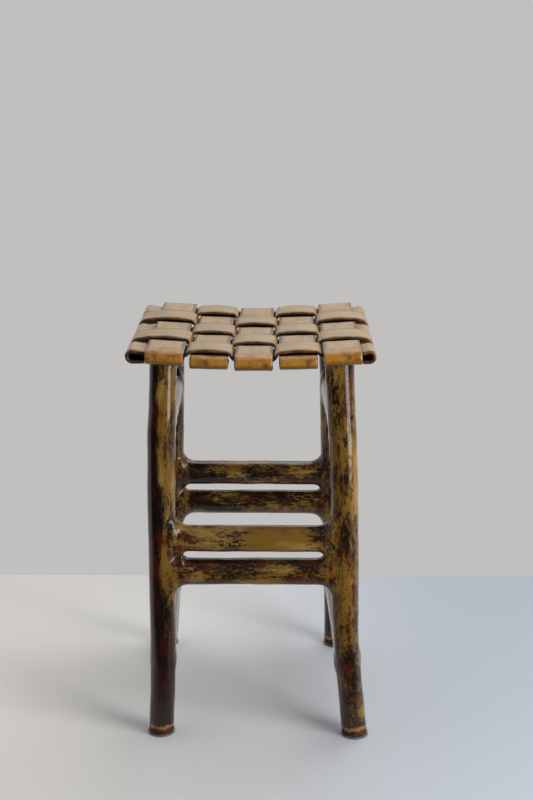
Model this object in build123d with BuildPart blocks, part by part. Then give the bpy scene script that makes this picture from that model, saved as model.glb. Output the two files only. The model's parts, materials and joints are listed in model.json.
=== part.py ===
from build123d import *
import os
from math import acos, atan, cos, sin, tan

# Glazed stoneware stool: a seat woven from flat clay straps on four round legs joined by rails.
# Lengths are millimetres. X runs to the right, the front faces -Y, Z is up from the floor.

os.makedirs("parts", exist_ok=True)

# Seat
stool_height = 450
seat_width = 274
seat_depth = 275
strap_count = 5
column_gap = 6
row_gap = 7.5
strap_thickness = 4.2
strap_edge_radius = 1.8
strap_clearance = 0.4

# How far the rolled ends stand out past the outermost straps
left_loop_reach = 23
right_loop_reach = 16.2
column_loop_reach = 15

# Weave: how far a column rises over a row, how much a row arches, and the shoulder beside each crossing
column_rise = 1.1
row_arch = 2.2
shoulder_margin = 0.65
shoulder_radius = 5
arch_radius = 120
row_rise = strap_thickness + strap_clearance - column_rise

# Dish of the seat, and the share of its slope that each column strap leans by
dish_across = 6
dish_along = 1.2
lean_share = 0.5

# Rolled strap ends: the hollow inside each hairpin and the length that is turned back underneath
over_column_hollow = 7.8
under_column_hollow = 6.2
over_row_hollow = 11
under_row_hollow = 9
under_column_setback = 4
row_end_fall = 2.8
row_end_lift = 3.6
column_return = 40
row_return = 32
corner_gap = 1.2
bend_share = 0.98
touch = 0.001

# Legs: how far they stand in from the seat's edges, their thickness and how much a hand-made leg wanders
leg_inset_x = 36
leg_inset_y = 20.5
leg_diameter = 30
leg_wander = 10
knee_radius = 2000

# Foot pads
pad_diameter = 31
pad_thickness = 2.2
pad_edge_radius = 0.7

# Rails at the front and the rear: two bars with a narrow slot between them
rail_diameter = 30
rail_depth = 27
pair_middle_height = 210.5
pair_slot = 8
pair_slot_end_gap = 12.8
rail_flare = 15
rail_edge_radius = 12
flare_bite = 1.8

# Rails at the sides
side_rail_diameter = 31
high_side_rail_drop = 104
low_side_rail_height = 87
side_flare = 14

# How each leg strays from its straight line: the height of its knee as a share of the leg, then the
# moves of foot, knee and top to the right and to the rear, as shares of leg_wander
leg_shares = {
    "leg_front_left": (0.45, (-0.12, -0.2), (0.18, 0), (0.5, 0.4)),
    "leg_front_right": (0.38, (1.6, -0.5), (0.3, 0), (-0.4, 0.4)),
    "leg_rear_left": (0.35, (-1.4, 0), (-0.56, 0), (0, -0.4)),
    "leg_rear_right": (0.35, (0.3, 0.1), (0.1, 0), (-0.7, -0.4)),
}

# Places worked out from the sizes above
column_pitch = (seat_width + column_gap - left_loop_reach - right_loop_reach) / strap_count
row_pitch = (seat_depth + row_gap - 2 * column_loop_reach) / strap_count
column_width = column_pitch - column_gap
row_width = row_pitch - row_gap
column_middle = (left_loop_reach - right_loop_reach) / 2
leg_spacing_x = seat_width - 2 * leg_inset_x
leg_spacing_y = seat_depth - 2 * leg_inset_y
middle = (strap_count + 1) / 2
columns = range(1, strap_count + 1)
rows = range(1, strap_count + 1)
half_span_x = column_pitch * (strap_count - 1) / 2
half_span_y = row_pitch * (strap_count - 1) / 2
half_flat = column_width / 2 + shoulder_margin
crest = row_rise + strap_thickness / 2 + row_arch


def column_x(column):
    return column_middle + (column - middle) * column_pitch


def row_y(row):
    return (row - middle) * row_pitch


def dish(x, y):
    """Depth of the seat's dish below its corners."""
    across = (x - column_middle) / half_span_x
    along = y / half_span_y
    return dish_across * (1 - across**2) + dish_along * (1 - along**2)


def lean(column):
    """Angle that a column strap leans by, about its own length."""
    offset = (column - middle) * column_pitch
    return atan(lean_share * 2 * dish_across * offset / half_span_x**2)


corner_level = stool_height - crest + dish(column_x(1), row_y(2))


def level(column, row):
    """Height of the middle of the weave where a column crosses a row."""
    return corner_level - dish(column_x(column), row_y(row))


def column_is_over(column, row):
    return (column + row) % 2 == 0


def fitted_radii(points, wanted):
    """A fillet radius for each inner point, no larger than its two runs allow."""
    radii = []
    for before, point, after, radius in zip(points, points[1:], points[2:], wanted):
        arrive = Vector(*point) - Vector(*before)
        leave = Vector(*after) - Vector(*point)
        turn = acos(max(-1, min(1, arrive.dot(leave) / (arrive.length * leave.length))))
        room = bend_share / 2 * min(arrive.length, leave.length) / tan(turn / 2)
        radii.append(min(radius, room))
    return radii


def column_path(column):
    """Points (along Y, height over the corner level) and their radii for one column strap."""
    over = column_is_over(column, 1)
    hollow = over_column_hollow if over else under_column_hollow
    setback = 0 if over else under_column_setback
    reach = (seat_depth - strap_thickness) / 2 - setback
    hairpin = hollow + strap_thickness

    def height(row):
        rise = column_rise if column_is_over(column, row) else -column_rise
        return (level(column, row) - corner_level + rise) / cos(lean(column))

    half = [
        (column_return - reach, height(1) - hairpin, 0),
        (-reach, height(1) - hairpin, hairpin),
        (-reach, height(1), hairpin),
        (row_y(1) + row_width / 2, height(1), shoulder_radius),
        (row_y(2) - row_width / 2, height(2), shoulder_radius),
        (row_y(2) + row_width / 2, height(2), shoulder_radius),
        (row_y(3) - row_width / 2, height(3), shoulder_radius),
    ]
    return half + [(-y, z, radius) for y, z, radius in reversed(half)]


def row_path(row):
    """Points (along X, height over the corner level) and their radii for one row strap."""
    over = not column_is_over(1, row)
    corner = row in (1, strap_count)
    hollow = over_row_hollow if over else under_row_hollow
    hairpin = hollow + strap_thickness
    reach = (seat_width - strap_thickness) / 2

    def height(column, side):
        rise = -row_rise if column_is_over(column, row) else row_rise
        slope = side * half_flat * tan(lean(column))
        return level(column, row) - corner_level + rise + slope

    def rolled_end(column, side):
        """The turned-back length and the hairpin past an outermost column."""
        end_level = height(column, side) + (-row_end_fall if over else row_end_lift)
        outer_edge = abs(column_x(column)) + column_width / 2
        back = reach - outer_edge - corner_gap if corner else row_return
        return [
            (side * (reach - back), end_level - hairpin, 0),
            (side * reach, end_level - hairpin, hairpin),
            (side * reach, end_level, hairpin),
        ]

    path = rolled_end(1, -1)
    for column in columns:
        x = column_x(column)
        path.append((x - half_flat, height(column, -1), shoulder_radius))
        if not column_is_over(column, row):
            path.append((x, height(column, 0) + row_arch, arch_radius))
        path.append((x + half_flat, height(column, 1), shoulder_radius))
    return path + rolled_end(strap_count, 1)[::-1]


def make_strap(name, plane, path_points, width):
    """Sweeps the strap's rounded flat section along its path and writes it."""
    points = [(u, v) for u, v, radius in path_points]
    radii = fitted_radii(points, [radius for u, v, radius in path_points[1:-1]])
    with BuildPart() as strap:
        with BuildLine(plane) as path:
            FilletPolyline(*points, radius=radii)
        start = Plane(origin=path.line @ 0, x_dir=plane.z_dir, z_dir=path.line % 0)
        with BuildSketch(start):
            RectangleRounded(width, strap_thickness, strap_edge_radius)
        sweep()
    strap.part.label = name
    export_step(strap.part, f"parts/{name}.step")


# Column straps, front to rear
for column in columns:
    tilt = lean(column)
    strap_plane = Plane(
        origin=(column_x(column), 0, corner_level),
        x_dir=(0, 1, 0),
        z_dir=(cos(tilt), 0, sin(tilt)),
    )
    make_strap(f"column_strap_{column}", strap_plane, column_path(column), column_width)

# Row straps, left to right
for row in rows:
    strap_plane = Plane(origin=(0, row_y(row), corner_level), x_dir=(1, 0, 0), z_dir=(0, -1, 0))
    make_strap(f"row_strap_{row}", strap_plane, row_path(row), row_width)

# Legs: each stands on its pad and ends flush under the folded end of an outer column strap
fold_drop = over_column_hollow + strap_thickness + strap_thickness / 2
leg_top = level(1, 1) + column_rise - fold_drop / cos(lean(1))
leg_length = leg_top - pad_thickness


def leg_points(name):
    """Foot, knee and top of a leg's centre line."""
    knee_share, *moves = leg_shares[name]
    side = 1 if name.endswith("right") else -1
    depth = 1 if "rear" in name else -1
    heights = (pad_thickness, pad_thickness + knee_share * leg_length, leg_top)
    return [
        Vector(
            side * leg_spacing_x / 2 + right * leg_wander,
            depth * leg_spacing_y / 2 + rear * leg_wander,
            height,
        )
        for height, (right, rear) in zip(heights, moves)
    ]


legs = {}
for name in leg_shares:
    foot, knee, top = leg_points(name)
    outer_column = strap_count if name.endswith("right") else 1
    tilt = lean(outer_column)
    below = foot + (foot - knee).normalized() * leg_diameter
    above = top + (top - knee).normalized() * leg_diameter
    with BuildPart() as leg:
        with BuildLine() as centre_line:
            FilletPolyline(below, knee, above, radius=fitted_radii((below, knee, above), [knee_radius]))
        with BuildSketch(Plane(origin=centre_line.line @ 0, z_dir=centre_line.line % 0)):
            Circle(leg_diameter / 2)
        sweep()
        split(bisect_by=Plane.XY.offset(pad_thickness), keep=Keep.TOP)
        seat_face = Plane(
            origin=(column_x(outer_column), 0, leg_top),
            x_dir=(0, 1, 0),
            z_dir=(-sin(tilt), 0, cos(tilt)),
        )
        split(bisect_by=seat_face, keep=Keep.BOTTOM)
    leg.part.label = name
    export_step(leg.part, f"parts/{name}.step")
    legs[name] = leg.part

    # Clear pad under the foot
    with BuildPart() as pad:
        with BuildSketch():
            with Locations((foot.X, foot.Y)):
                Circle(pad_diameter / 2)
        extrude(amount=pad_thickness)
        fillet(pad.edges().group_by(Axis.Z)[0], pad_edge_radius)
    pad_name = name.replace("leg", "foot_pad")
    pad.part.label = pad_name
    export_step(pad.part, f"parts/{pad_name}.step")


def leg_place(name, height):
    """Centre of a leg at a height, along its foot, knee and top."""
    foot, knee, top = leg_points(name)
    low, high = (foot, knee) if height < knee.Z else (knee, top)
    return low + (high - low) * ((height - low.Z) / (high.Z - low.Z))


def make_bar(from_leg, to_leg, height, bar_height, flare, slot=0):
    """A bar from one leg's centre line to the other's: flared ends, rounded edges, cut to the legs."""
    start = leg_place(from_leg, height)
    end = leg_place(to_leg, height)
    along = (end - start).normalized()
    face = Plane(origin=(start + end) / 2, x_dir=along, z_dir=along.cross(Vector(0, 0, 1)))
    half = (end - start).length / 2
    inner = half - leg_diameter / 2 + flare_bite
    with BuildPart() as bar:
        with BuildSketch(face) as outline:
            Rectangle(2 * half, bar_height)
            with Locations((-(inner + half) / 2, 0), ((inner + half) / 2, 0)):
                Rectangle(half - inner, bar_height + 2 * flare)
            notches = outline.vertices().filter_by(
                lambda v: abs(v.X) < half - touch and abs(v.Y) < bar_height / 2 + touch
            )
            fillet(notches, flare * bend_share)
            if slot:
                SlotOverall(2 * (inner - pair_slot_end_gap), slot, mode=Mode.SUBTRACT)
        extrude(amount=rail_depth / 2, both=True)

        def on_outline(edge):
            place = face.to_local_coords(edge.center())
            on_face = abs(abs(place.Z) - rail_depth / 2) < touch
            return on_face and abs(place.X) < half - touch and abs(place.Y) < bar_height / 2 + flare - touch

        fillet(bar.edges().filter_by(on_outline), rail_edge_radius)
        for name in (from_leg, to_leg):
            add(legs[name], mode=Mode.SUBTRACT)
    return bar.part


# Front and rear rails: each pair is shaped as one and parted along the middle of its slot
pair_height = 2 * rail_diameter + pair_slot
for end in ("front", "rear"):
    pair = make_bar(
        f"leg_{end}_left", f"leg_{end}_right", pair_middle_height, pair_height, rail_flare, pair_slot
    )
    for place, kept in (("upper", Keep.TOP), ("lower", Keep.BOTTOM)):
        with BuildPart() as rail:
            add(pair)
            split(bisect_by=Plane.XY.offset(pair_middle_height), keep=kept)
        rail.part.label = f"{end}_{place}_rail"
        export_step(rail.part, f"parts/{end}_{place}_rail.step")

# Side rails: one high and one low on each side
side_rail_heights = {"upper": stool_height - high_side_rail_drop, "lower": low_side_rail_height}
for side in ("left", "right"):
    for place, height in side_rail_heights.items():
        rail = make_bar(f"leg_front_{side}", f"leg_rear_{side}", height, side_rail_diameter, side_flare)
        rail.label = f"{side}_{place}_rail"
        export_step(rail, f"parts/{side}_{place}_rail.step")
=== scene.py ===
import json
from math import pi, radians, sqrt

import bpy
import numpy as np
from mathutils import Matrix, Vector
from mathutils.bvhtree import BVHTree

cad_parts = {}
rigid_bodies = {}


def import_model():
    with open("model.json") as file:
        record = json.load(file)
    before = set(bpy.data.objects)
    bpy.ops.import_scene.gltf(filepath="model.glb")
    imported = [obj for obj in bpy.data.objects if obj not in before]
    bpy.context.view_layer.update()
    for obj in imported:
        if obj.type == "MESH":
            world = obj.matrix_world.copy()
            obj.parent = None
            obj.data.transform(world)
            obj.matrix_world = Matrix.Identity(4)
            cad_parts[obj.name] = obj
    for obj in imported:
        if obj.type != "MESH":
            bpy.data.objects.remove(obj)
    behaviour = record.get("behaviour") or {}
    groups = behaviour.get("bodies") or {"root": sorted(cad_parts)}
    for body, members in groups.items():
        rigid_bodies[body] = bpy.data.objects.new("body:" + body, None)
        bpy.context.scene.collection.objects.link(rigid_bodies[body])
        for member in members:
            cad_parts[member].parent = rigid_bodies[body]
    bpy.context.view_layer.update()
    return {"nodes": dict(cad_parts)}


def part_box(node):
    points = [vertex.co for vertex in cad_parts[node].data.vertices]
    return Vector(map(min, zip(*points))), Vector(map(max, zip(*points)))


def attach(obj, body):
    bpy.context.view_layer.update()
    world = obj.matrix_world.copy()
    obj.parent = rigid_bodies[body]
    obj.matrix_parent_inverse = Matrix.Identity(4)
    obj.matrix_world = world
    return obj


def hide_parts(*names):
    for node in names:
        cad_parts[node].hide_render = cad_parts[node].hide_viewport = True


bl_info = {
    "name": "Woven ceramic stool",
    "version": (1, 0, 0),
    "blender": (4, 5, 0),
    "location": "View3D > Sidebar > Stool",
    "description": "Dresses the woven ceramic stool in its hand-made shapes and glazes",
    "category": "Add Mesh",
}

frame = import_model()

MM = 0.001
WALL = (0.53, 0.525, 0.52, 1.0)

# Straps each way, and the height of the slots between the paired rails, in mm
STRAPS = 5
SLOT_HEIGHT = 210.5

# How far the middles of the legs stand from the stool's middle, in metres
LEG_OUT_X = 0.101
LEG_OUT_Y = 0.117

# Sides of the circle that a leg or rail is drawn with
LIMB_SIDES = 28

# Each leg as it was drawn out, in mm: height, centre to the right, centre to the rear
# and thickness
LEGS = {
    "leg_front_left": (
        (1.6, -102.2, -119.0, 28.4),
        (24, -101.1, -118.8, 28.6),
        (61, -99.8, -118.4, 28.8),
        (97, -99.2, -118.0, 29.0),
        (169, -99.2, -117.3, 29.4),
        (227, -99.3, -116.8, 30.8),
        (262, -99.3, -116.2, 32.0),
        (309, -98.9, -115.4, 31.9),
        (355, -98.3, -114.6, 31.6),
        (389, -97.0, -113.9, 30.2),
        (423, -95.6, -113.2, 29.4),
        (432, -95.4, -113.0, 30.2),
    ),
    "leg_front_right": (
        (1.6, 117.0, -122.0, 28.6),
        (17, 115.5, -121.5, 28.5),
        (41, 113.0, -120.8, 28.3),
        (65, 110.6, -120.0, 28.4),
        (89, 108.4, -119.3, 28.8),
        (113, 106.6, -118.6, 28.7),
        (163, 104.9, -117.1, 31.2),
        (219, 104.2, -116.4, 31.6),
        (266, 103.8, -115.7, 31.4),
        (312, 102.6, -115.0, 31.4),
        (357, 100.6, -114.3, 31.6),
        (391, 98.5, -113.7, 31.1),
        (420, 97.2, -113.2, 32.0),
        (432, 97.0, -113.0, 32.6),
    ),
    "leg_rear_left": (
        (1.6, -115.0, 117.0, 28.6),
        (20, -113.8, 117.0, 28.4),
        (63, -110.8, 117.0, 29.2),
        (120, -107.8, 117.0, 29.6),
        (200, -105.9, 117.0, 30.4),
        (262, -105.2, 116.2, 30.8),
        (326, -103.8, 115.2, 30.4),
        (365, -102.8, 114.4, 29.8),
        (432, -101.0, 113.0, 30.4),
    ),
    "leg_rear_right": (
        (1.6, 104.0, 118.0, 28.8),
        (30, 103.6, 117.9, 28.6),
        (90, 102.8, 117.5, 29.2),
        (150, 102.0, 117.0, 30.0),
        (220, 100.0, 116.2, 30.8),
        (276, 98.2, 115.4, 30.6),
        (326, 96.8, 114.6, 30.2),
        (365, 95.8, 114.1, 29.6),
        (432, 94.0, 113.0, 30.4),
    ),
}

# Rails: the legs they join, the height of the middle, and how far their ends flare up and down,
# in mm
RAILS = {
    "front_upper_rail": ("leg_front_left", "leg_front_right", 229.4, 15, 0),
    "front_lower_rail": ("leg_front_left", "leg_front_right", 191.2, 0, 15),
    "rear_upper_rail": ("leg_rear_left", "leg_rear_right", 230.0, 15, 0),
    "rear_lower_rail": ("leg_rear_left", "leg_rear_right", 191.4, 0, 15),
    "left_upper_rail": ("leg_front_left", "leg_rear_left", 346, 14, 14),
    "left_lower_rail": ("leg_front_left", "leg_rear_left", 87, 14, 14),
    "right_upper_rail": ("leg_front_right", "leg_rear_right", 346, 14, 14),
    "right_lower_rail": ("leg_front_right", "leg_rear_right", 87, 14, 14),
}


class StoolShapes(bpy.types.PropertyGroup):
    """Sizes of the hand-made shapes."""

    clay_grain: bpy.props.FloatProperty(
        name="Clay grain",
        description="Size of the small faces that the legs and rails are made of",
        default=0.0016,
        unit="LENGTH",
    )
    strap_grain: bpy.props.FloatProperty(
        name="Strap grain",
        description="Size of the small faces that a strap is made of",
        default=0.0011,
        unit="LENGTH",
    )
    limb_waver: bpy.props.FloatProperty(
        name="Waver of the limbs",
        description="How far the surface of a leg or rail strays from true",
        default=0.0011,
        unit="LENGTH",
    )
    strap_waver: bpy.props.FloatProperty(
        name="Waver of the straps",
        description="How far the surface of a strap strays from true",
        default=0.0007,
        unit="LENGTH",
    )
    rail_depth: bpy.props.FloatProperty(
        name="Rail depth",
        description="Thickness of a rail from its face to its back",
        default=0.0275,
        unit="LENGTH",
    )
    rail_height: bpy.props.FloatProperty(
        name="Rail height",
        description="Thickness of a rail from its underside to its top",
        default=0.0302,
        unit="LENGTH",
    )
    front_slot_end: bpy.props.FloatProperty(
        name="Front slot end",
        description="How far the slot between the front rails stops short of the leg",
        default=0.009,
        unit="LENGTH",
    )
    rear_slot_end: bpy.props.FloatProperty(
        name="Rear slot end",
        description="How far the slot between the rear rails stops short of the leg",
        default=0.003,
        unit="LENGTH",
    )
    bare_foot: bpy.props.FloatProperty(
        name="Bare foot",
        description="Height of the unglazed clay at the foot of a leg",
        default=0.0085,
        unit="LENGTH",
    )


class StoolColours(bpy.types.PropertyGroup):
    """Colours of the glazes, the bare clay and the pads."""

    ochre: bpy.props.FloatVectorProperty(
        name="Ochre",
        description="Main glaze of the legs and rails",
        default=(0.190, 0.098, 0.015),
        subtype="COLOR",
    )
    straw: bpy.props.FloatVectorProperty(
        name="Straw",
        description="Thin, pale parts of the ochre glaze",
        default=(0.33, 0.205, 0.055),
        subtype="COLOR",
    )
    # On the left side of the left legs this dark also stands in for painted shade
    umber: bpy.props.FloatVectorProperty(
        name="Umber",
        description="Dark runs in the leg glaze",
        default=(0.007, 0.004, 0.003),
        subtype="COLOR",
    )
    oxblood: bpy.props.FloatVectorProperty(
        name="Oxblood",
        description="Red patches in the leg glaze",
        default=(0.085, 0.008, 0.004),
        subtype="COLOR",
    )
    haze: bpy.props.FloatVectorProperty(
        name="Haze",
        description="Blue-grey bloom at the edges of the dark runs",
        default=(0.075, 0.082, 0.085),
        subtype="COLOR",
    )
    wash: bpy.props.FloatVectorProperty(
        name="Wash",
        description="Thin brown round the dark runs",
        default=(0.045, 0.023, 0.007),
        subtype="COLOR",
    )
    lip: bpy.props.FloatVectorProperty(
        name="Lip",
        description="Thick edge where the leg glaze stops short of the floor",
        default=(0.30, 0.145, 0.045),
        subtype="COLOR",
    )
    scorch: bpy.props.FloatVectorProperty(
        name="Scorch",
        description="Dark patches in the bare clay",
        default=(0.035, 0.012, 0.008),
        subtype="COLOR",
    )
    clay: bpy.props.FloatVectorProperty(
        name="Clay",
        description="Bare fired clay at the feet",
        default=(0.115, 0.035, 0.018),
        subtype="COLOR",
    )
    greige: bpy.props.FloatVectorProperty(
        name="Greige",
        description="Satin glaze on top of the straps",
        default=(0.47, 0.325, 0.175),
        subtype="COLOR",
    )
    sand: bpy.props.FloatVectorProperty(
        name="Sand",
        description="Darker clouds in the greige",
        default=(0.38, 0.255, 0.128),
        subtype="COLOR",
    )
    combed: bpy.props.FloatVectorProperty(
        name="Combed",
        description="Fine lines that run along a strap",
        default=(0.23, 0.145, 0.072),
        subtype="COLOR",
    )
    outline: bpy.props.FloatVectorProperty(
        name="Outline",
        description="Brown line inside the edges of a strap",
        default=(0.095, 0.045, 0.016),
        subtype="COLOR",
    )
    honey: bpy.props.FloatVectorProperty(
        name="Honey",
        description="Glossy glaze on the rolled faces of the straps",
        default=(0.44, 0.196, 0.022),
        subtype="COLOR",
    )
    rust: bpy.props.FloatVectorProperty(
        name="Rust",
        description="Clouds in the honey glaze",
        default=(0.125, 0.044, 0.010),
        subtype="COLOR",
    )
    speck: bpy.props.FloatVectorProperty(
        name="Speck",
        description="Dark specks in the honey glaze",
        default=(0.035, 0.014, 0.006),
        subtype="COLOR",
    )
    amber: bpy.props.FloatVectorProperty(
        name="Amber",
        description="Glaze that breaks over the edges of the straps",
        default=(0.17, 0.070, 0.014),
        subtype="COLOR",
    )
    burnt: bpy.props.FloatVectorProperty(
        name="Burnt",
        description="Dark parts of the glaze on the edges of the straps",
        default=(0.048, 0.019, 0.007),
        subtype="COLOR",
    )
    # Painted shade: the darker brown on the faces of the straps that look down
    underside: bpy.props.FloatVectorProperty(
        name="Underside",
        description="Brown glaze on the faces of the straps that look down",
        default=(0.050, 0.018, 0.006),
        subtype="COLOR",
    )
    # Painted shade: the near-black put in the crevices and hollows of the weave
    crevice_shade: bpy.props.FloatVectorProperty(
        name="Soot",
        description="Glaze pooled in the crevices of the weave",
        default=(0.010, 0.005, 0.003),
        subtype="COLOR",
    )
    pad: bpy.props.FloatVectorProperty(
        name="Pad",
        description="Clear plastic of the foot pads",
        default=(0.80, 0.81, 0.82),
        subtype="COLOR",
    )
    pad_cloud: bpy.props.FloatVectorProperty(
        name="Pad cloud",
        description="Faint cloud in the plastic of the foot pads",
        default=(0.66, 0.68, 0.70),
        subtype="COLOR",
    )


class Wire:
    """A number that runs between nodes, written as plain sums."""

    def __init__(self, paint, socket):
        self.paint = paint
        self.socket = socket

    def sum(self, operation, first, second=0.0):
        made = self.paint.node("ShaderNodeMath", {"operation": operation}, {0: first, 1: second})
        return Wire(self.paint, made.outputs[0])

    def __add__(self, other):
        return self.sum("ADD", self, other)

    def __radd__(self, other):
        return self.sum("ADD", other, self)

    def __sub__(self, other):
        return self.sum("SUBTRACT", self, other)

    def __rsub__(self, other):
        return self.sum("SUBTRACT", other, self)

    def __mul__(self, other):
        return self.sum("MULTIPLY", self, other)

    def __rmul__(self, other):
        return self.sum("MULTIPLY", other, self)

    def __abs__(self):
        return self.sum("ABSOLUTE", self)

    def most(self, other):
        return self.sum("MAXIMUM", self, other)


class Paint:
    """The nodes of one finish, or of the room's light."""

    def __init__(self, owner):
        owner.use_nodes = True
        self.owner = owner
        self.tree = owner.node_tree
        self.tree.nodes.clear()

    def node(self, kind, settings, inputs):
        """Adds a node: its settings first, then the values or the wires of its sockets."""
        made = self.tree.nodes.new(kind)
        for key, value in settings.items():
            setattr(made, key, value)
        for key, value in inputs.items():
            socket = made.inputs[key]
            if isinstance(value, Wire):
                self.tree.links.new(value.socket, socket)
            else:
                socket.default_value = value
        return made

    def place(self, kind="Object"):
        made = self.node("ShaderNodeTexCoord", {}, {})
        return Wire(self, made.outputs[kind])

    def ray(self, kind):
        """1 for a ray of this kind, and 0 for the others."""
        made = self.node("ShaderNodeLightPath", {}, {})
        return Wire(self, made.outputs[f"Is {kind} Ray"])

    def painted(self, name):
        """A vector that is stored on the piece's own points."""
        made = self.node("ShaderNodeAttribute", {"attribute_name": name}, {})
        return Wire(self, made.outputs["Vector"])

    def split(self, vector):
        made = self.node("ShaderNodeSeparateXYZ", {}, {0: vector})
        return [Wire(self, socket) for socket in made.outputs]

    def scaled(self, vector, factors):
        made = self.node("ShaderNodeVectorMath", {"operation": "MULTIPLY"}, {0: vector, 1: factors})
        return Wire(self, made.outputs[0])

    def noise(self, vector, scale, detail=3.0, roughness=0.55, distortion=0.0):
        inputs = {"Vector": vector, "Scale": scale, "Detail": detail}
        inputs.update({"Roughness": roughness, "Distortion": distortion})
        made = self.node("ShaderNodeTexNoise", {"noise_dimensions": "3D"}, inputs)
        return Wire(self, made.outputs[0])

    def step(self, value, low, high):
        """0 below low, 1 above high, and smooth between them."""
        settings = {"interpolation_type": "SMOOTHSTEP", "clamp": True}
        inputs = {"Value": value, "From Min": low, "From Max": high}
        return Wire(self, self.node("ShaderNodeMapRange", settings, inputs).outputs[0])

    def blend(self, share, first, second):
        """A number between two numbers."""
        inputs = {0: share, 2: first, 3: second}
        made = self.node("ShaderNodeMix", {"data_type": "FLOAT"}, inputs)
        return Wire(self, made.outputs[0])

    def tint(self, share, first, second):
        """A colour between two colours."""
        inputs = {0: share, 6: first, 7: second}
        made = self.node("ShaderNodeMix", {"data_type": "RGBA"}, inputs)
        return Wire(self, made.outputs[2])

    def bump(self, height, strength, distance):
        inputs = {"Height": height, "Strength": strength, "Distance": distance}
        return Wire(self, self.node("ShaderNodeBump", {}, inputs).outputs[0])

    def surface(self, inputs):
        """Ends the finish in one shader with these sockets."""
        made = self.node("ShaderNodeBsdfPrincipled", {}, inputs)
        self.output(made)

    def mixed(self, share, first, second):
        """A shader between two shaders."""
        inputs = {0: share, 1: Wire(self, first.outputs[0]), 2: Wire(self, second.outputs[0])}
        return self.node("ShaderNodeMixShader", {}, inputs)

    def output(self, shader, kind="Material"):
        self.node(f"ShaderNodeOutput{kind}", {}, {"Surface": Wire(self, shader.outputs[0])})


def colour(rgb):
    return (*rgb, 1.0)


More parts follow.
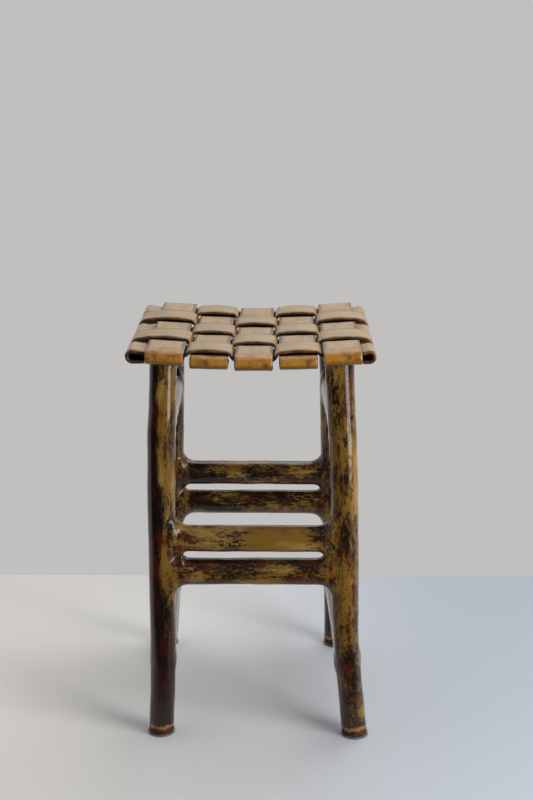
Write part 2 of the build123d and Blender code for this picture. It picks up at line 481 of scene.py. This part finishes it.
def leg_glaze():
    """Runny ochre glaze with dark runs, red patches and a blue-grey bloom, with painted shade
    darkening the left side, and bare clay feet.
    """
    colours = bpy.context.scene.stool_colours
    shapes = bpy.context.scene.stool_shapes
    paint = Paint(bpy.data.materials.new("leg_glaze"))
    place = paint.place()
    x, y, z = paint.split(place)

    # How far a point is from the nearest leg's middle, and which way its rail runs
    out_x = abs(abs(x) - LEG_OUT_X)
    out_y = abs(abs(y) - LEG_OUT_Y)
    leg_radius, past_flare, turn = 0.013, 0.024, 0.004
    on_rail = paint.step(out_x.most(out_y), leg_radius, past_flare)
    on_leg = 1.0 - on_rail
    across = paint.step(out_x - out_y, -turn, turn)

    def runs(fine, drawn, detail, shift):
        """Noise drawn out down the legs and along the rails, about zero."""
        moved = paint.node("ShaderNodeVectorMath", {"operation": "ADD"}, {0: place, 1: shift})
        here = Wire(paint, moved.outputs[0])
        down = paint.noise(paint.scaled(here, (fine, fine, drawn)), 1.0, detail, 0.65)
        sideways = paint.noise(paint.scaled(here, (drawn, fine, fine)), 1.0, detail, 0.65)
        backwards = paint.noise(paint.scaled(here, (fine, drawn, fine)), 1.0, detail, 0.65)
        along_rail = paint.blend(across, backwards, sideways)
        return paint.blend(on_rail, down, along_rail) - 0.5

    grain = paint.noise(place, scale=720.0, detail=3.0, roughness=0.7) - 0.5
    patch = runs(fine=46.0, drawn=19.0, detail=2.0, shift=(0.0, 0.0, 0.0))
    crawl = runs(fine=430.0, drawn=150.0, detail=4.0, shift=(4.1, 0.6, 2.2))
    vein = runs(fine=230.0, drawn=20.0, detail=3.0, shift=(6.3, 2.9, 8.4))
    red_patch = runs(fine=60.0, drawn=24.0, detail=2.0, shift=(3.1, 1.7, 5.3))
    pale_patch = runs(fine=48.0, drawn=12.0, detail=2.0, shift=(7.7, 2.3, 1.1))

    # The legs are darker on the left side and towards the bottom, the lower half of the left legs
    # darker still, and the lower and rear rails are darker; the left side's dark is partly painted
    # shade, for the side turned away from the window lamp.
    # Each bound is where its dark starts to change and where it has changed, in metres.
    knee = (0.06, 0.20)
    left_glaze_and_shade_bounds = (-0.109, -0.0945)
    left_legs = (-0.094, -0.082)
    slots = (0.204, 0.218)
    behind = (0.04, 0.09)
    low = 1.0 - paint.step(z, *knee)
    # Painted shade in part: the left side of the left legs, away from the window lamp, takes the
    # dark glaze
    left = 1.0 - paint.step(x + 0.02 * crawl, *left_glaze_and_shade_bounds)
    low_left = low * (1.0 - paint.step(x, *left_legs))
    lower_rail = 1.0 - paint.step(z, *slots)
    rear = paint.step(y, *behind)
    rails = on_rail * (0.12 * lower_rail + 0.10 * rear - 0.055)
    dark_glaze_and_shade_bias = on_leg * (0.13 * low + 0.40 * left + 0.30 * low_left) + rails
    darkness = 1.05 * patch + dark_glaze_and_shade_bias - 0.06
    broken = 1.15 * crawl + 0.80 * grain + 0.55 * vein
    ragged = darkness + broken
    dark = paint.step(ragged, -0.005, 0.05)
    stain = paint.step(darkness + 0.5 * broken, -0.16, 0.02)
    bloom = paint.step(crawl + 0.7 * grain + 0.4 * patch, 0.03, 0.10)
    redness = 1.2 * red_patch + 0.8 * crawl + 0.7 * vein + 0.7 * grain + 0.15 * darkness
    red = paint.step(redness, 0.105, 0.17)

    pale = paint.step(pale_patch + 0.45 * vein, -0.02, 0.14)
    base = paint.tint(pale * 0.8, colour(colours.ochre), colour(colours.straw))
    stained = paint.tint(stain * 0.78, base, colour(colours.wash))
    hazed = paint.tint(bloom * stain * 0.42, stained, colour(colours.haze))
    darkened = paint.tint(dark * 0.95, hazed, colour(colours.umber))
    blush = red * stain * (0.80 - 0.45 * low_left)
    reddened = paint.tint(blush, darkened, colour(colours.oxblood))

    # The glaze stops short of the floor in a thick ragged edge
    ragged_edge, sharp_edge = 0.009, 0.0006
    lip_width = (0.0022, 0.005)
    lip = paint.noise(place, scale=140.0, detail=3.0, roughness=0.6)
    above_lip = z - shapes.bare_foot + ragged_edge * (lip - 0.5)
    glazed = paint.step(above_lip, -sharp_edge, sharp_edge)
    edge = glazed * (1.0 - paint.step(above_lip, *lip_width))
    edged = paint.tint(edge * 0.9, reddened, colour(colours.lip))
    clay_noise = paint.noise(place, scale=260.0, detail=4.0, roughness=0.7)
    baked = paint.step(clay_noise, 0.35, 0.65)
    clay = paint.tint(baked, colour(colours.scorch), colour(colours.clay))
    final = paint.tint(glazed, clay, edged)

    clay_roughness = 0.75
    sheen = 0.14 + 0.12 * grain
    rough = paint.blend(glazed, clay_roughness, sheen)
    glaze_relief = 1.0 + 0.25 * pale_patch + 0.10 * crawl + 0.04 * dark
    relief = paint.blend(glazed, clay_noise * 0.9, glaze_relief)
    paint.surface(
        {
            "Base Color": final,
            "Roughness": rough,
            "Normal": paint.bump(relief, strength=0.55, distance=0.0012),
            "Specular IOR Level": 0.22,
            "Coat Weight": glazed * 0.5,
            "Coat Roughness": 0.05,
            "Coat IOR": 1.5,
        }
    )
    return paint.owner


def strap_glaze():
    """Satin greige on top, honey on the rolled faces, amber edges, and painted shade: darker brown
    on the faces that look down and near-black in the crevices and hollows.
    """
    colours = bpy.context.scene.stool_colours
    paint = Paint(bpy.data.materials.new("strap_glaze"))
    strap = paint.painted("strap_place")
    across = paint.split(strap)[1]
    crevice, hollow, up = paint.split(paint.painted("shade_and_up"))
    place = paint.place()

    def streaks(fine, drawn, detail):
        """Noise drawn out along the strap."""
        return paint.noise(paint.scaled(strap, (drawn, fine, 1.0)), 1.0, detail, 0.6)

    comb = streaks(fine=19.0, drawn=45.0, detail=3.0)
    cloud = streaks(fine=2.0, drawn=30.0, detail=3.0)
    mottle = paint.noise(place, scale=110.0, detail=4.0, roughness=0.65)
    speck = paint.noise(place, scale=520.0, detail=3.0, roughness=0.6)

    offset = abs(across)
    rim = paint.step(offset + 0.06 * (mottle - 0.5), 0.915, 0.965)
    rim_line = paint.step(offset + 0.05 * (mottle - 0.5), 0.77, 0.86)

    pale = paint.step(cloud, 0.35, 0.65)
    top = paint.tint(pale, colour(colours.sand), colour(colours.greige))
    combed = paint.tint(paint.step(comb, 0.40, 0.72) * 0.32, top, colour(colours.combed))
    lined = paint.tint(rim_line * 0.80, combed, colour(colours.outline))

    # Honey where the strap turns down, and next to a crossing, with rust clouds and dark specks
    slope = 1.0 - paint.step(up + 0.22 * (mottle - 0.5), 0.56, 0.96)
    close = paint.split(paint.painted("crossing"))[0]
    brink = paint.step(close + 0.5 * (mottle - 0.5), 0.15, 1.0)
    turned = slope.most(brink * 0.78)
    cloudy = paint.step(mottle, 0.46, 0.68) * 0.8
    clouded = paint.tint(cloudy, colour(colours.honey), colour(colours.rust))
    specked = paint.tint(paint.step(speck, 0.60, 0.72) * 0.6, clouded, colour(colours.speck))
    faced = paint.tint(turned, lined, specked)

    charred = paint.step(mottle, 0.40, 0.58)
    broken = paint.tint(charred, colour(colours.amber), colour(colours.burnt))
    edged = paint.tint(rim * 0.88, faced, broken)
    # Painted shade: darker brown on the faces that look down
    under = 1.0 - paint.step(up + 0.5 * (mottle - 0.5), -0.75, 0.05)
    under_shaded = paint.tint(under * 0.85, edged, colour(colours.underside))
    # Painted shade: near-black where a crossing strap comes close and in the hollows that other
    # faces close in, with less coat and more roughness there
    near = paint.step(crevice + 0.20 * (mottle - 0.5), 0.52, 0.92)
    crevice_shaded = paint.tint(near * 0.95, under_shaded, colour(colours.crevice_shade))
    hollow_shade = paint.step(hollow, 0.10, 0.62)
    final = paint.tint(hollow_shade * 0.96, crevice_shaded, colour(colours.crevice_shade))
    unshaded = 1.0 - near.most(hollow_shade)

    gloss = paint.blend(slope, 0.40 + 0.10 * comb, 0.17 + 0.10 * speck)
    crevice_roughness = 0.7
    rough = paint.blend(unshaded, crevice_roughness, gloss)
    relief = 0.5 * comb + 0.9 * mottle + 0.3 * speck
    paint.surface(
        {
            "Base Color": final,
            "Roughness": rough,
            "Normal": paint.bump(relief, strength=0.30, distance=0.0006),
            "Coat Weight": slope.most(rim) * unshaded * 0.7,
            "Coat Roughness": 0.08,
            "Coat IOR": 1.5,
        }
    )
    return paint.owner


def clear_plastic():
    """Soft clear plastic with a faint cloud in it."""
    colours = bpy.context.scene.stool_colours
    paint = Paint(bpy.data.materials.new("clear_plastic"))
    cloud = paint.noise(paint.place(), scale=180.0, detail=2.0)
    paint.surface(
        {
            "Base Color": paint.tint(cloud * 0.3, colour(colours.pad), colour(colours.pad_cloud)),
            "Roughness": 0.18 + 0.15 * cloud,
            "Transmission Weight": 0.85,
            "IOR": 1.46,
        }
    )
    return paint.owner


def floor_paint():
    """A floor painted warm pale on the left and darker blue-grey on the right, as painted tint and
    shade against the window lamp, that keeps the stool's shadow, with a painted dark reflection in
    front and the wall's colour behind.
    """
    paint = Paint(bpy.data.materials.new("pale_floor"))
    right, rear = paint.split(paint.place())[:2]
    wall_line = (0.342, 0.345)
    dark_reflection_edge = (-0.32, -0.14)
    wall = paint.step(rear, *wall_line) * paint.ray("Camera").most(paint.ray("Glossy"))
    # Painted reflection: the floor in front shows near-black to reflected rays only, standing in
    # for a dark room in front of the stool
    dark_reflection_ahead = (1.0 - paint.step(rear, *dark_reflection_edge)) * paint.ray("Glossy")
    # Painted tint and shade: a warm pale tone on the left and a darker blue-grey on the right,
    # evening out the window lamp's light
    window_side_shade = paint.step(right, -0.35, 0.35)
    floor_tone_and_shade = paint.tint(window_side_shade, (0.87, 0.845, 0.81, 1.0), (0.475, 0.525, 0.60, 1.0))
    pale = paint.node("ShaderNodeBsdfDiffuse", {}, {"Color": floor_tone_and_shade})
    dark_reflection = paint.node("ShaderNodeBsdfDiffuse", {}, {"Color": (0.04, 0.04, 0.04, 1.0)})
    glow = paint.node("ShaderNodeEmission", {}, {"Color": WALL, "Strength": 1.0})
    paint.output(paint.mixed(wall, paint.mixed(dark_reflection_ahead, pale, dark_reflection), glow))
    return paint.owner


def room_light():
    """A pale room that is dimmer in front of the stool, and the wall's colour to the camera."""
    paint = Paint(bpy.data.worlds.new("pale_room"))
    rear = paint.split(paint.place("Generated"))[1]
    strength = 0.12 + 0.60 * paint.step(rear, -0.75, 0.35)
    glow = {"Color": (0.86, 0.86, 0.86, 1.0), "Strength": strength}
    room = paint.node("ShaderNodeBackground", {}, glow)
    wall = paint.node("ShaderNodeBackground", {}, {"Color": WALL, "Strength": 1.0})
    paint.output(paint.mixed(paint.ray("Camera"), room, wall), "World")
    return paint.owner


def make_active(piece):
    """Selects one object alone."""
    bpy.ops.object.select_all(action="DESELECT")
    piece.select_set(True)
    bpy.context.view_layer.objects.active = piece


def apply_modifier(piece, kind, **settings):
    """Adds a modifier with its settings and applies it."""
    make_active(piece)
    bpy.ops.object.modifier_add(type=kind)
    modifier = piece.modifiers[-1]
    for key, value in settings.items():
        setattr(modifier, key, value)
    bpy.ops.object.modifier_apply(modifier=modifier.name)


def hand_texture(name, size):
    """A soft cloud that a modifier reads to make a surface uneven."""
    texture = bpy.data.textures.new(name, "CLOUDS")
    texture.noise_scale = size
    texture.noise_depth = 1
    return texture


def dress(piece, name, node, material):
    """Names a finished piece, paints it and sets it in the place of its CAD node."""
    piece.name = name
    piece.data.name = name
    piece.data.materials.clear()
    piece.data.materials.append(material)
    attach(piece, "root")
    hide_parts(node)


def draw_limb(name, rings, turn):
    """A round limb drawn ring by ring. A ring is its centre and its half sizes, in metres."""
    bpy.ops.object.select_all(action="DESELECT")
    centre, halves = rings[0]
    bpy.ops.mesh.primitive_circle_add(
        vertices=LIMB_SIDES, radius=1, fill_type="NGON", location=centre, rotation=turn
    )
    limb = bpy.context.object
    limb.name = name
    bpy.ops.object.transform_apply(location=True, rotation=True, scale=True)
    bpy.ops.object.mode_set(mode="EDIT")
    bpy.ops.mesh.select_all(action="SELECT")
    bpy.ops.transform.resize(value=halves, center_override=centre)
    for (centre_before, halves_before), (centre, halves) in zip(rings, rings[1:]):
        move = centre - centre_before
        bpy.ops.mesh.extrude_region_move(TRANSFORM_OT_translate={"value": move})
        ratio = [new / old for new, old in zip(halves, halves_before)]
        bpy.ops.transform.resize(value=ratio, center_override=centre)
    bpy.ops.mesh.select_all(action="SELECT")
    bpy.ops.mesh.normals_make_consistent(inside=False)
    bpy.ops.object.mode_set(mode="OBJECT")
    return limb


def leg_at(name, height):
    """Centre and thickness of a leg at a height, in mm."""
    heights, *columns = zip(*LEGS[name])
    return [float(np.interp(height, heights, column)) for column in columns]


def leg_rings(name):
    """Rings up a leg, with the joins of its straight lengths eased."""
    ring_count, easings = 40, 3
    heights = np.linspace(LEGS[name][0][0], LEGS[name][-1][0], ring_count)
    places = np.array([leg_at(name, height) for height in heights])
    for easing in range(easings):
        places[1:-1] = (places[:-2] + 2 * places[1:-1] + places[2:]) / 4
    rings = []
    for height, (right, rear, thickness) in zip(heights, places):
        centre = Vector((right, rear, height)) * MM
        rings.append((centre, (thickness / 2 * MM, thickness / 2 * MM, 1)))
    return rings


def flare_at(gap, flare):
    """How far a flared rail has grown at a distance from the leg."""
    if gap >= flare:
        return 0.0
    inside = min(1.0, (flare - gap) / flare)
    return flare * (1 - sqrt(1 - inside * inside))


def is_paired(name):
    """Whether a rail is one of a pair, as at the front and the rear, or stands alone at a side."""
    return not name.startswith(("left", "right"))


def rail_rings(name):
    """Rings along a rail from one leg's middle to the other's, flared where it meets them."""
    shapes = bpy.context.scene.stool_shapes
    from_leg, to_leg, middle, flare_up, flare_down = RAILS[name]
    start = Vector((*leg_at(from_leg, middle)[:2], middle)) * MM
    end = Vector((*leg_at(to_leg, middle)[:2], middle)) * MM
    length = (end - start).length
    paired = is_paired(name)
    slot_end = shapes.front_slot_end if name.startswith("front") else shapes.rear_slot_end
    slot_middle = SLOT_HEIGHT * MM
    round_end = 4 * MM
    radius = 15 * MM
    overlap = 1 * MM
    side_flare, side_share = 6 * MM, 0.3
    half_deep = shapes.rail_depth / 2
    half_high = shapes.rail_height / 2

    # Rings stand close together at the flares and slot ends, and evenly between them
    gaps = (0.3, 1, 2, 3.5, 5, 6.5, 8, 10, 12, 12.9, 13.4, 14.2, 15.5, 17.4)
    near = [radius * share for share in (0, 0.4, 0.8)]
    near += [radius + gap * MM for gap in gaps]
    even_start, even_rings = radius + 0.024, 14
    steps = near + list(np.linspace(even_start, length - even_start, even_rings))
    steps += [length - step for step in reversed(near)]
    rings = []
    for step in steps:
        gap = max(0.0, min(step, length - step) - radius)
        top = middle * MM + half_high + flare_at(gap, flare_up * MM)
        bottom = middle * MM - half_high - flare_at(gap, flare_down * MM)
        if paired and gap < slot_end + round_end:
            inside = min(1.0, (slot_end + round_end - gap) / round_end)
            edge = round_end * sqrt(1 - inside * inside)
            if flare_up:
                bottom = min(bottom, slot_middle + edge - (overlap if inside == 1.0 else 0))
            else:
                top = max(top, slot_middle - edge + (overlap if inside == 1.0 else 0))
        deep = half_deep + flare_at(gap, side_flare) * side_share
        centre = start.lerp(end, step / length)
        centre.z = (top + bottom) / 2
        high = (top - bottom) / 2
        rings.append((centre, (1, deep, high) if paired else (deep, 1, high)))
    return rings


def take_piece(body, chosen, name):
    """Parts the chosen faces from the clay body and closes the piece where it was cut."""
    make_active(body)
    bpy.context.tool_settings.mesh_select_mode = (False, False, True)
    mesh = body.data
    mesh.vertices.foreach_set("select", np.zeros(len(mesh.vertices), dtype=bool))
    mesh.edges.foreach_set("select", np.zeros(len(mesh.edges), dtype=bool))
    mesh.polygons.foreach_set("select", chosen)
    bpy.ops.object.mode_set(mode="EDIT")
    bpy.ops.mesh.separate(type="SELECTED")
    bpy.ops.object.mode_set(mode="OBJECT")
    piece = next(found for found in bpy.context.selected_objects if found != body)
    make_active(piece)
    bpy.ops.object.mode_set(mode="EDIT")
    bpy.ops.mesh.select_all(action="SELECT")
    bpy.ops.mesh.fill_holes(sides=0)
    bpy.ops.mesh.select_all(action="SELECT")
    bpy.ops.mesh.normals_make_consistent(inside=False)
    bpy.ops.object.mode_set(mode="OBJECT")
    bpy.ops.object.shade_smooth_by_angle(angle=radians(50))
    piece.name = name
    return piece


def face_centres(mesh):
    """Middle of every face, as an array."""
    flat = np.empty(len(mesh.polygons) * 3)
    mesh.polygons.foreach_get("center", flat)
    return flat.reshape(-1, 3)


class STOOL_OT_legs_and_rails(bpy.types.Operator):
    """Draws the legs and rails, fuses them as one clay body, and parts it into its pieces"""

    bl_idname = "stool.legs_and_rails"
    bl_label = "Legs and rails"

    def execute(self, context):
        shapes = context.scene.stool_shapes
        limbs = [draw_limb(name, leg_rings(name), (0, 0, 0)) for name in LEGS]
        for name in RAILS:
            turn = (0, pi / 2, 0) if is_paired(name) else (-pi / 2, 0, 0)
            limbs.append(draw_limb(name, rail_rings(name), turn))
        make_active(limbs[0])
        for limb in limbs:
            limb.select_set(True)
        bpy.ops.object.join()
        body = context.object
        apply_modifier(body, "REMESH", mode="VOXEL", voxel_size=shapes.clay_grain)
        apply_modifier(body, "SMOOTH", factor=0.5, iterations=12)
        apply_modifier(
            body,
            "DISPLACE",
            texture=hand_texture("pressed_limbs", 0.032),
            texture_coords="LOCAL",
            strength=shapes.limb_waver,
            mid_level=0.5,
        )

        # Cut lines round the rails, just past the flares
        cut_x = 0.070
        cut_y = 0.086
        bpy.ops.object.mode_set(mode="EDIT")
        for place, normal in (
            ((cut_x, 0, 0), (1, 0, 0)),
            ((-cut_x, 0, 0), (1, 0, 0)),
            ((0, cut_y, 0), (0, 1, 0)),
            ((0, -cut_y, 0), (0, 1, 0)),
        ):
            bpy.ops.mesh.select_all(action="SELECT")
            bpy.ops.mesh.bisect(plane_co=place, plane_no=normal)
        bpy.ops.object.mode_set(mode="OBJECT")

        material = leg_glaze()
        for name in (*RAILS, *LEGS):
            x, y, z = face_centres(body.data).T
            if name in LEGS:
                chosen = (np.abs(x) > cut_x) & (np.abs(y) > cut_y)
                chosen &= (x > 0) == name.endswith("right")
                chosen &= (y > 0) == ("rear" in name)
            elif is_paired(name):
                chosen = np.abs(x) < cut_x
                chosen &= (y > 0) == name.startswith("rear")
                chosen &= (z > SLOT_HEIGHT * MM) == ("upper" in name)
            else:
                chosen = (np.abs(x) > cut_x) & (np.abs(y) < cut_y)
                chosen &= (x > 0) == name.startswith("right")
                chosen &= (z > SLOT_HEIGHT * MM) == ("upper" in name)
            if not chosen.any():
                raise RuntimeError(f"no clay for {name}")
            piece = body if chosen.all() else take_piece(body, chosen, name)
            dress(piece, f"clay_{name}", name, material)
        return {"FINISHED"}


def copy_node(node):
    """A merged copy of a CAD node, free of its parent."""
    make_active(frame["nodes"][node])
    bpy.ops.object.duplicate()
    bpy.ops.object.parent_clear(type="CLEAR_KEEP_TRANSFORM")
    piece = bpy.context.object
    bpy.ops.object.mode_set(mode="EDIT")
    bpy.ops.mesh.select_all(action="SELECT")
    bpy.ops.mesh.remove_doubles(threshold=0.00001)
    bpy.ops.object.mode_set(mode="OBJECT")
    return piece


def press_strap(node):
    """A strap as it was cut and rolled by hand, from its CAD node."""
    shapes = bpy.context.scene.stool_shapes
    strap = copy_node(node)
    apply_modifier(strap, "REMESH", mode="VOXEL", voxel_size=shapes.strap_grain)
    apply_modifier(strap, "SMOOTH", factor=0.5, iterations=3)
    apply_modifier(
        strap,
        "DISPLACE",
        texture=hand_texture("pressed_strap", 0.014),
        texture_coords="LOCAL",
        strength=shapes.strap_waver,
        mid_level=0.62,
    )
    bpy.ops.object.shade_smooth()
    return strap


def points_of(mesh):
    flat = np.empty(len(mesh.vertices) * 3)
    mesh.vertices.foreach_get("co", flat)
    return flat.reshape(-1, 3)


def store(mesh, name, values):
    """Keeps one vector a point on the mesh, for its finish to read."""
    attribute = mesh.attributes.new(name, "FLOAT_VECTOR", "POINT")
    attribute.data.foreach_set("vector", np.ascontiguousarray(values, dtype=np.float32).ravel())


def places_in_crossings(node, points):
    """Where each point lies along its crossing: from -1 to 1, and further past the outer straps."""
    way, other = (1, "row") if node.startswith("column") else (0, "column")
    outer = [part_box(f"{other}_strap_{number}") for number in (1, STRAPS)]
    first, last = [(low[way] + high[way]) / 2 for low, high in outer]
    steps = (points[:, way] - first) / (last - first) * (STRAPS - 1)
    return (steps - np.clip(np.round(steps), 0, STRAPS - 1)) * 2


def places_on_strap(node, points, seed):
    """Along the strap, across it from -1 to 1, and up, with a shift that sets the straps apart."""
    low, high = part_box(node)
    lengthwise, sideways = (1, 0) if node.startswith("column") else (0, 1)
    middle = (low[sideways] + high[sideways]) / 2
    length_shift, height_shift, height_scale = 0.7, 3.1, 60
    places = np.zeros_like(points)
    places[:, 0] = points[:, lengthwise] + seed * length_shift
    places[:, 1] = (points[:, sideways] - middle) * 2 / (high[sideways] - low[sideways])
    places[:, 2] = points[:, 2] * height_scale + seed * height_shift
    return places


def honey_at_crossings(node, points):
    """Honey at the front end of a column's crossings, and at both ends of a row's inner ones."""
    places = places_in_crossings(node, points)
    if node.startswith("column"):
        start, width = 0.26, 0.45
        honey = np.clip((-places - start) / width, 0, 1)
    else:
        start, width, inner_share = 0.72, 0.26, 0.8
        inside = np.abs(points[:, 0]) < inner_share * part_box(node)[1][0]
        honey = np.clip((np.abs(places) - start) / width, 0, 1) * inside
    return np.stack((honey, honey, honey), axis=1)


def crevice_shading(mesh, own, crossing):
    """How near each point is to a crossing strap and how closed in it is, for the painted shade in
    the crevices and hollows, and how far it looks up.
    """
    reach, sight, skin, away = 0.0065, 0.022, 0.0006, -0.4
    shading = np.zeros((len(mesh.vertices), 3))
    for vertex in mesh.vertices:
        point = vertex.co
        normal = vertex.normal
        nearest = reach
        for tree in crossing:
            place, turned, face, gap = tree.find_nearest(point, nearest)
            if place is not None and (place - point).dot(normal) > away * gap:
                nearest = min(nearest, gap)
        facing = 0.0
        start = point + normal * skin
        for tree in (own, *crossing):
            struck = tree.ray_cast(start, normal, sight)
            if struck[0] is not None:
                facing = max(facing, 1 - struck[3] / sight)
        shading[vertex.index] = (1 - nearest / reach, facing, normal.z)
    return shading


def store_glaze(straps):
    """Stores where each point lies on its strap, and how much painted shade falls there in the
    crevices and hollows.
    """
    trees = {}
    for node, strap in straps.items():
        faces = [tuple(face.vertices) for face in strap.data.polygons]
        points = [tuple(point) for point in points_of(strap.data)]
        trees[node] = BVHTree.FromPolygons(points, faces)
    for seed, (node, strap) in enumerate(straps.items()):
        points = points_of(strap.data)
        crossing = [tree for other, tree in trees.items() if other[:3] != node[:3]]
        store(strap.data, "strap_place", places_on_strap(node, points, seed))
        store(strap.data, "crossing", honey_at_crossings(node, points))
        store(strap.data, "shade_and_up", crevice_shading(strap.data, trees[node], crossing))


class STOOL_OT_straps(bpy.types.Operator):
    """Presses the woven column and row straps of the seat"""

    bl_idname = "stool.straps"
    bl_label = "Woven straps"

    def execute(self, context):
        straps = {}
        for way in ("column", "row"):
            for number in range(1, STRAPS + 1):
                node = f"{way}_strap_{number}"
                straps[node] = press_strap(node)
        store_glaze(straps)
        material = strap_glaze()
        for node, strap in straps.items():
            dress(strap, f"woven_{node}", node, material)
        return {"FINISHED"}


class STOOL_OT_foot_pads(bpy.types.Operator):
    """Adds the clear pads under the feet"""

    bl_idname = "stool.foot_pads"
    bl_label = "Foot pads"

    def execute(self, context):
        material = clear_plastic()
        for leg in LEGS:
            node = leg.replace("leg", "foot_pad")
            low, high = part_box(node)
            middle = (low + high) / 2
            bpy.ops.object.select_all(action="DESELECT")
            inset = 0.1 * MM
            bpy.ops.mesh.primitive_cylinder_add(
                vertices=64,
                radius=(high.x - low.x) / 2 - inset,
                depth=high.z - low.z,
                location=middle,
            )
            pad = context.object
            bpy.ops.object.transform_apply(location=True, rotation=True, scale=True)
            bpy.ops.object.mode_set(mode="EDIT")
            bpy.ops.mesh.select_all(action="SELECT")
            bpy.ops.mesh.bevel(offset=0.0006, segments=3)
            bpy.ops.object.mode_set(mode="OBJECT")
            bpy.ops.object.shade_smooth_by_angle(angle=radians(35))
            dress(pad, f"clear_{node}", node, material)
        return {"FINISHED"}


class STOOL_OT_stage(bpy.types.Operator):
    """Sets the pale floor, the soft window light and the camera"""

    bl_idname = "stool.stage"
    bl_label = "Floor, light and camera"

    def execute(self, context):
        bpy.ops.object.select_all(action="DESELECT")
        bpy.ops.mesh.primitive_plane_add(size=60, location=(0, 0, 0))
        floor = context.object
        floor.name = "floor"
        floor.data.materials.append(floor_paint())

        context.scene.world = room_light()

        lamps = (
            ("window", (0.86, -0.66, 0.56), (0.55, 1.1), 11.0, (1.0, 0.98, 0.95)),
            ("left_fill", (-1.6, -0.4, 1.0), (1.2, 1.2), 1.2, (0.92, 0.96, 1.0)),
            ("skylight", (0.35, 0.75, 1.5), (1.2, 1.2), 9.0, (1.0, 0.99, 0.97)),
        )
        stool_middle = Vector((0, 0, 0.25))
        for name, place, size, power, tone in lamps:
            aim = stool_middle - Vector(place)
            bpy.ops.object.light_add(
                type="AREA", location=place, rotation=aim.to_track_quat("-Z", "Y").to_euler()
            )
            lamp = context.object
            lamp.name = name
            lamp.data.shape = "RECTANGLE"
            lamp.data.size, lamp.data.size_y = size
            lamp.data.energy = power
            lamp.data.color = tone
            lamp.visible_camera = False

        look_down, look_left = 0.1722, 0.0103
        bpy.ops.object.camera_add(
            location=(0.0331, -1.6564, 0.8069), rotation=(pi / 2 - look_down, 0, look_left)
        )
        camera = context.object
        camera.data.sensor_width = 36
        camera.data.lens = 65.4
        camera.data.shift_y = -0.17
        context.scene.camera = camera
        context.scene.view_settings.view_transform = "Standard"
        return {"FINISHED"}


class STOOL_PT_pieces(bpy.types.Panel):
    """Lists the steps and their sizes and colours"""

    bl_label = "Woven stool"
    bl_idname = "STOOL_PT_pieces"
    bl_space_type = "VIEW_3D"
    bl_region_type = "UI"
    bl_category = "Stool"

    def draw(self, context):
        layout = self.layout
        for group in (context.scene.stool_shapes, context.scene.stool_colours):
            for name in group.bl_rna.properties.keys():
                if name not in ("rna_type", "name"):
                    layout.prop(group, name)
        for operator in STEPS:
            layout.operator(operator.bl_idname)


STEPS = (
    STOOL_OT_stage,
    STOOL_OT_legs_and_rails,
    STOOL_OT_straps,
    STOOL_OT_foot_pads,
)
CLASSES = (StoolShapes, StoolColours, *STEPS, STOOL_PT_pieces)


def register():
    for cls in CLASSES:
        bpy.utils.register_class(cls)
    bpy.types.Scene.stool_shapes = bpy.props.PointerProperty(type=StoolShapes)
    bpy.types.Scene.stool_colours = bpy.props.PointerProperty(type=StoolColours)


def unregister():
    del bpy.types.Scene.stool_colours
    del bpy.types.Scene.stool_shapes
    for cls in reversed(CLASSES):
        bpy.utils.unregister_class(cls)


def main():
    register()
    bpy.ops.stool.stage()
    bpy.ops.stool.legs_and_rails()
    bpy.ops.stool.straps()
    bpy.ops.stool.foot_pads()


if __name__ == "__main__":
    main()
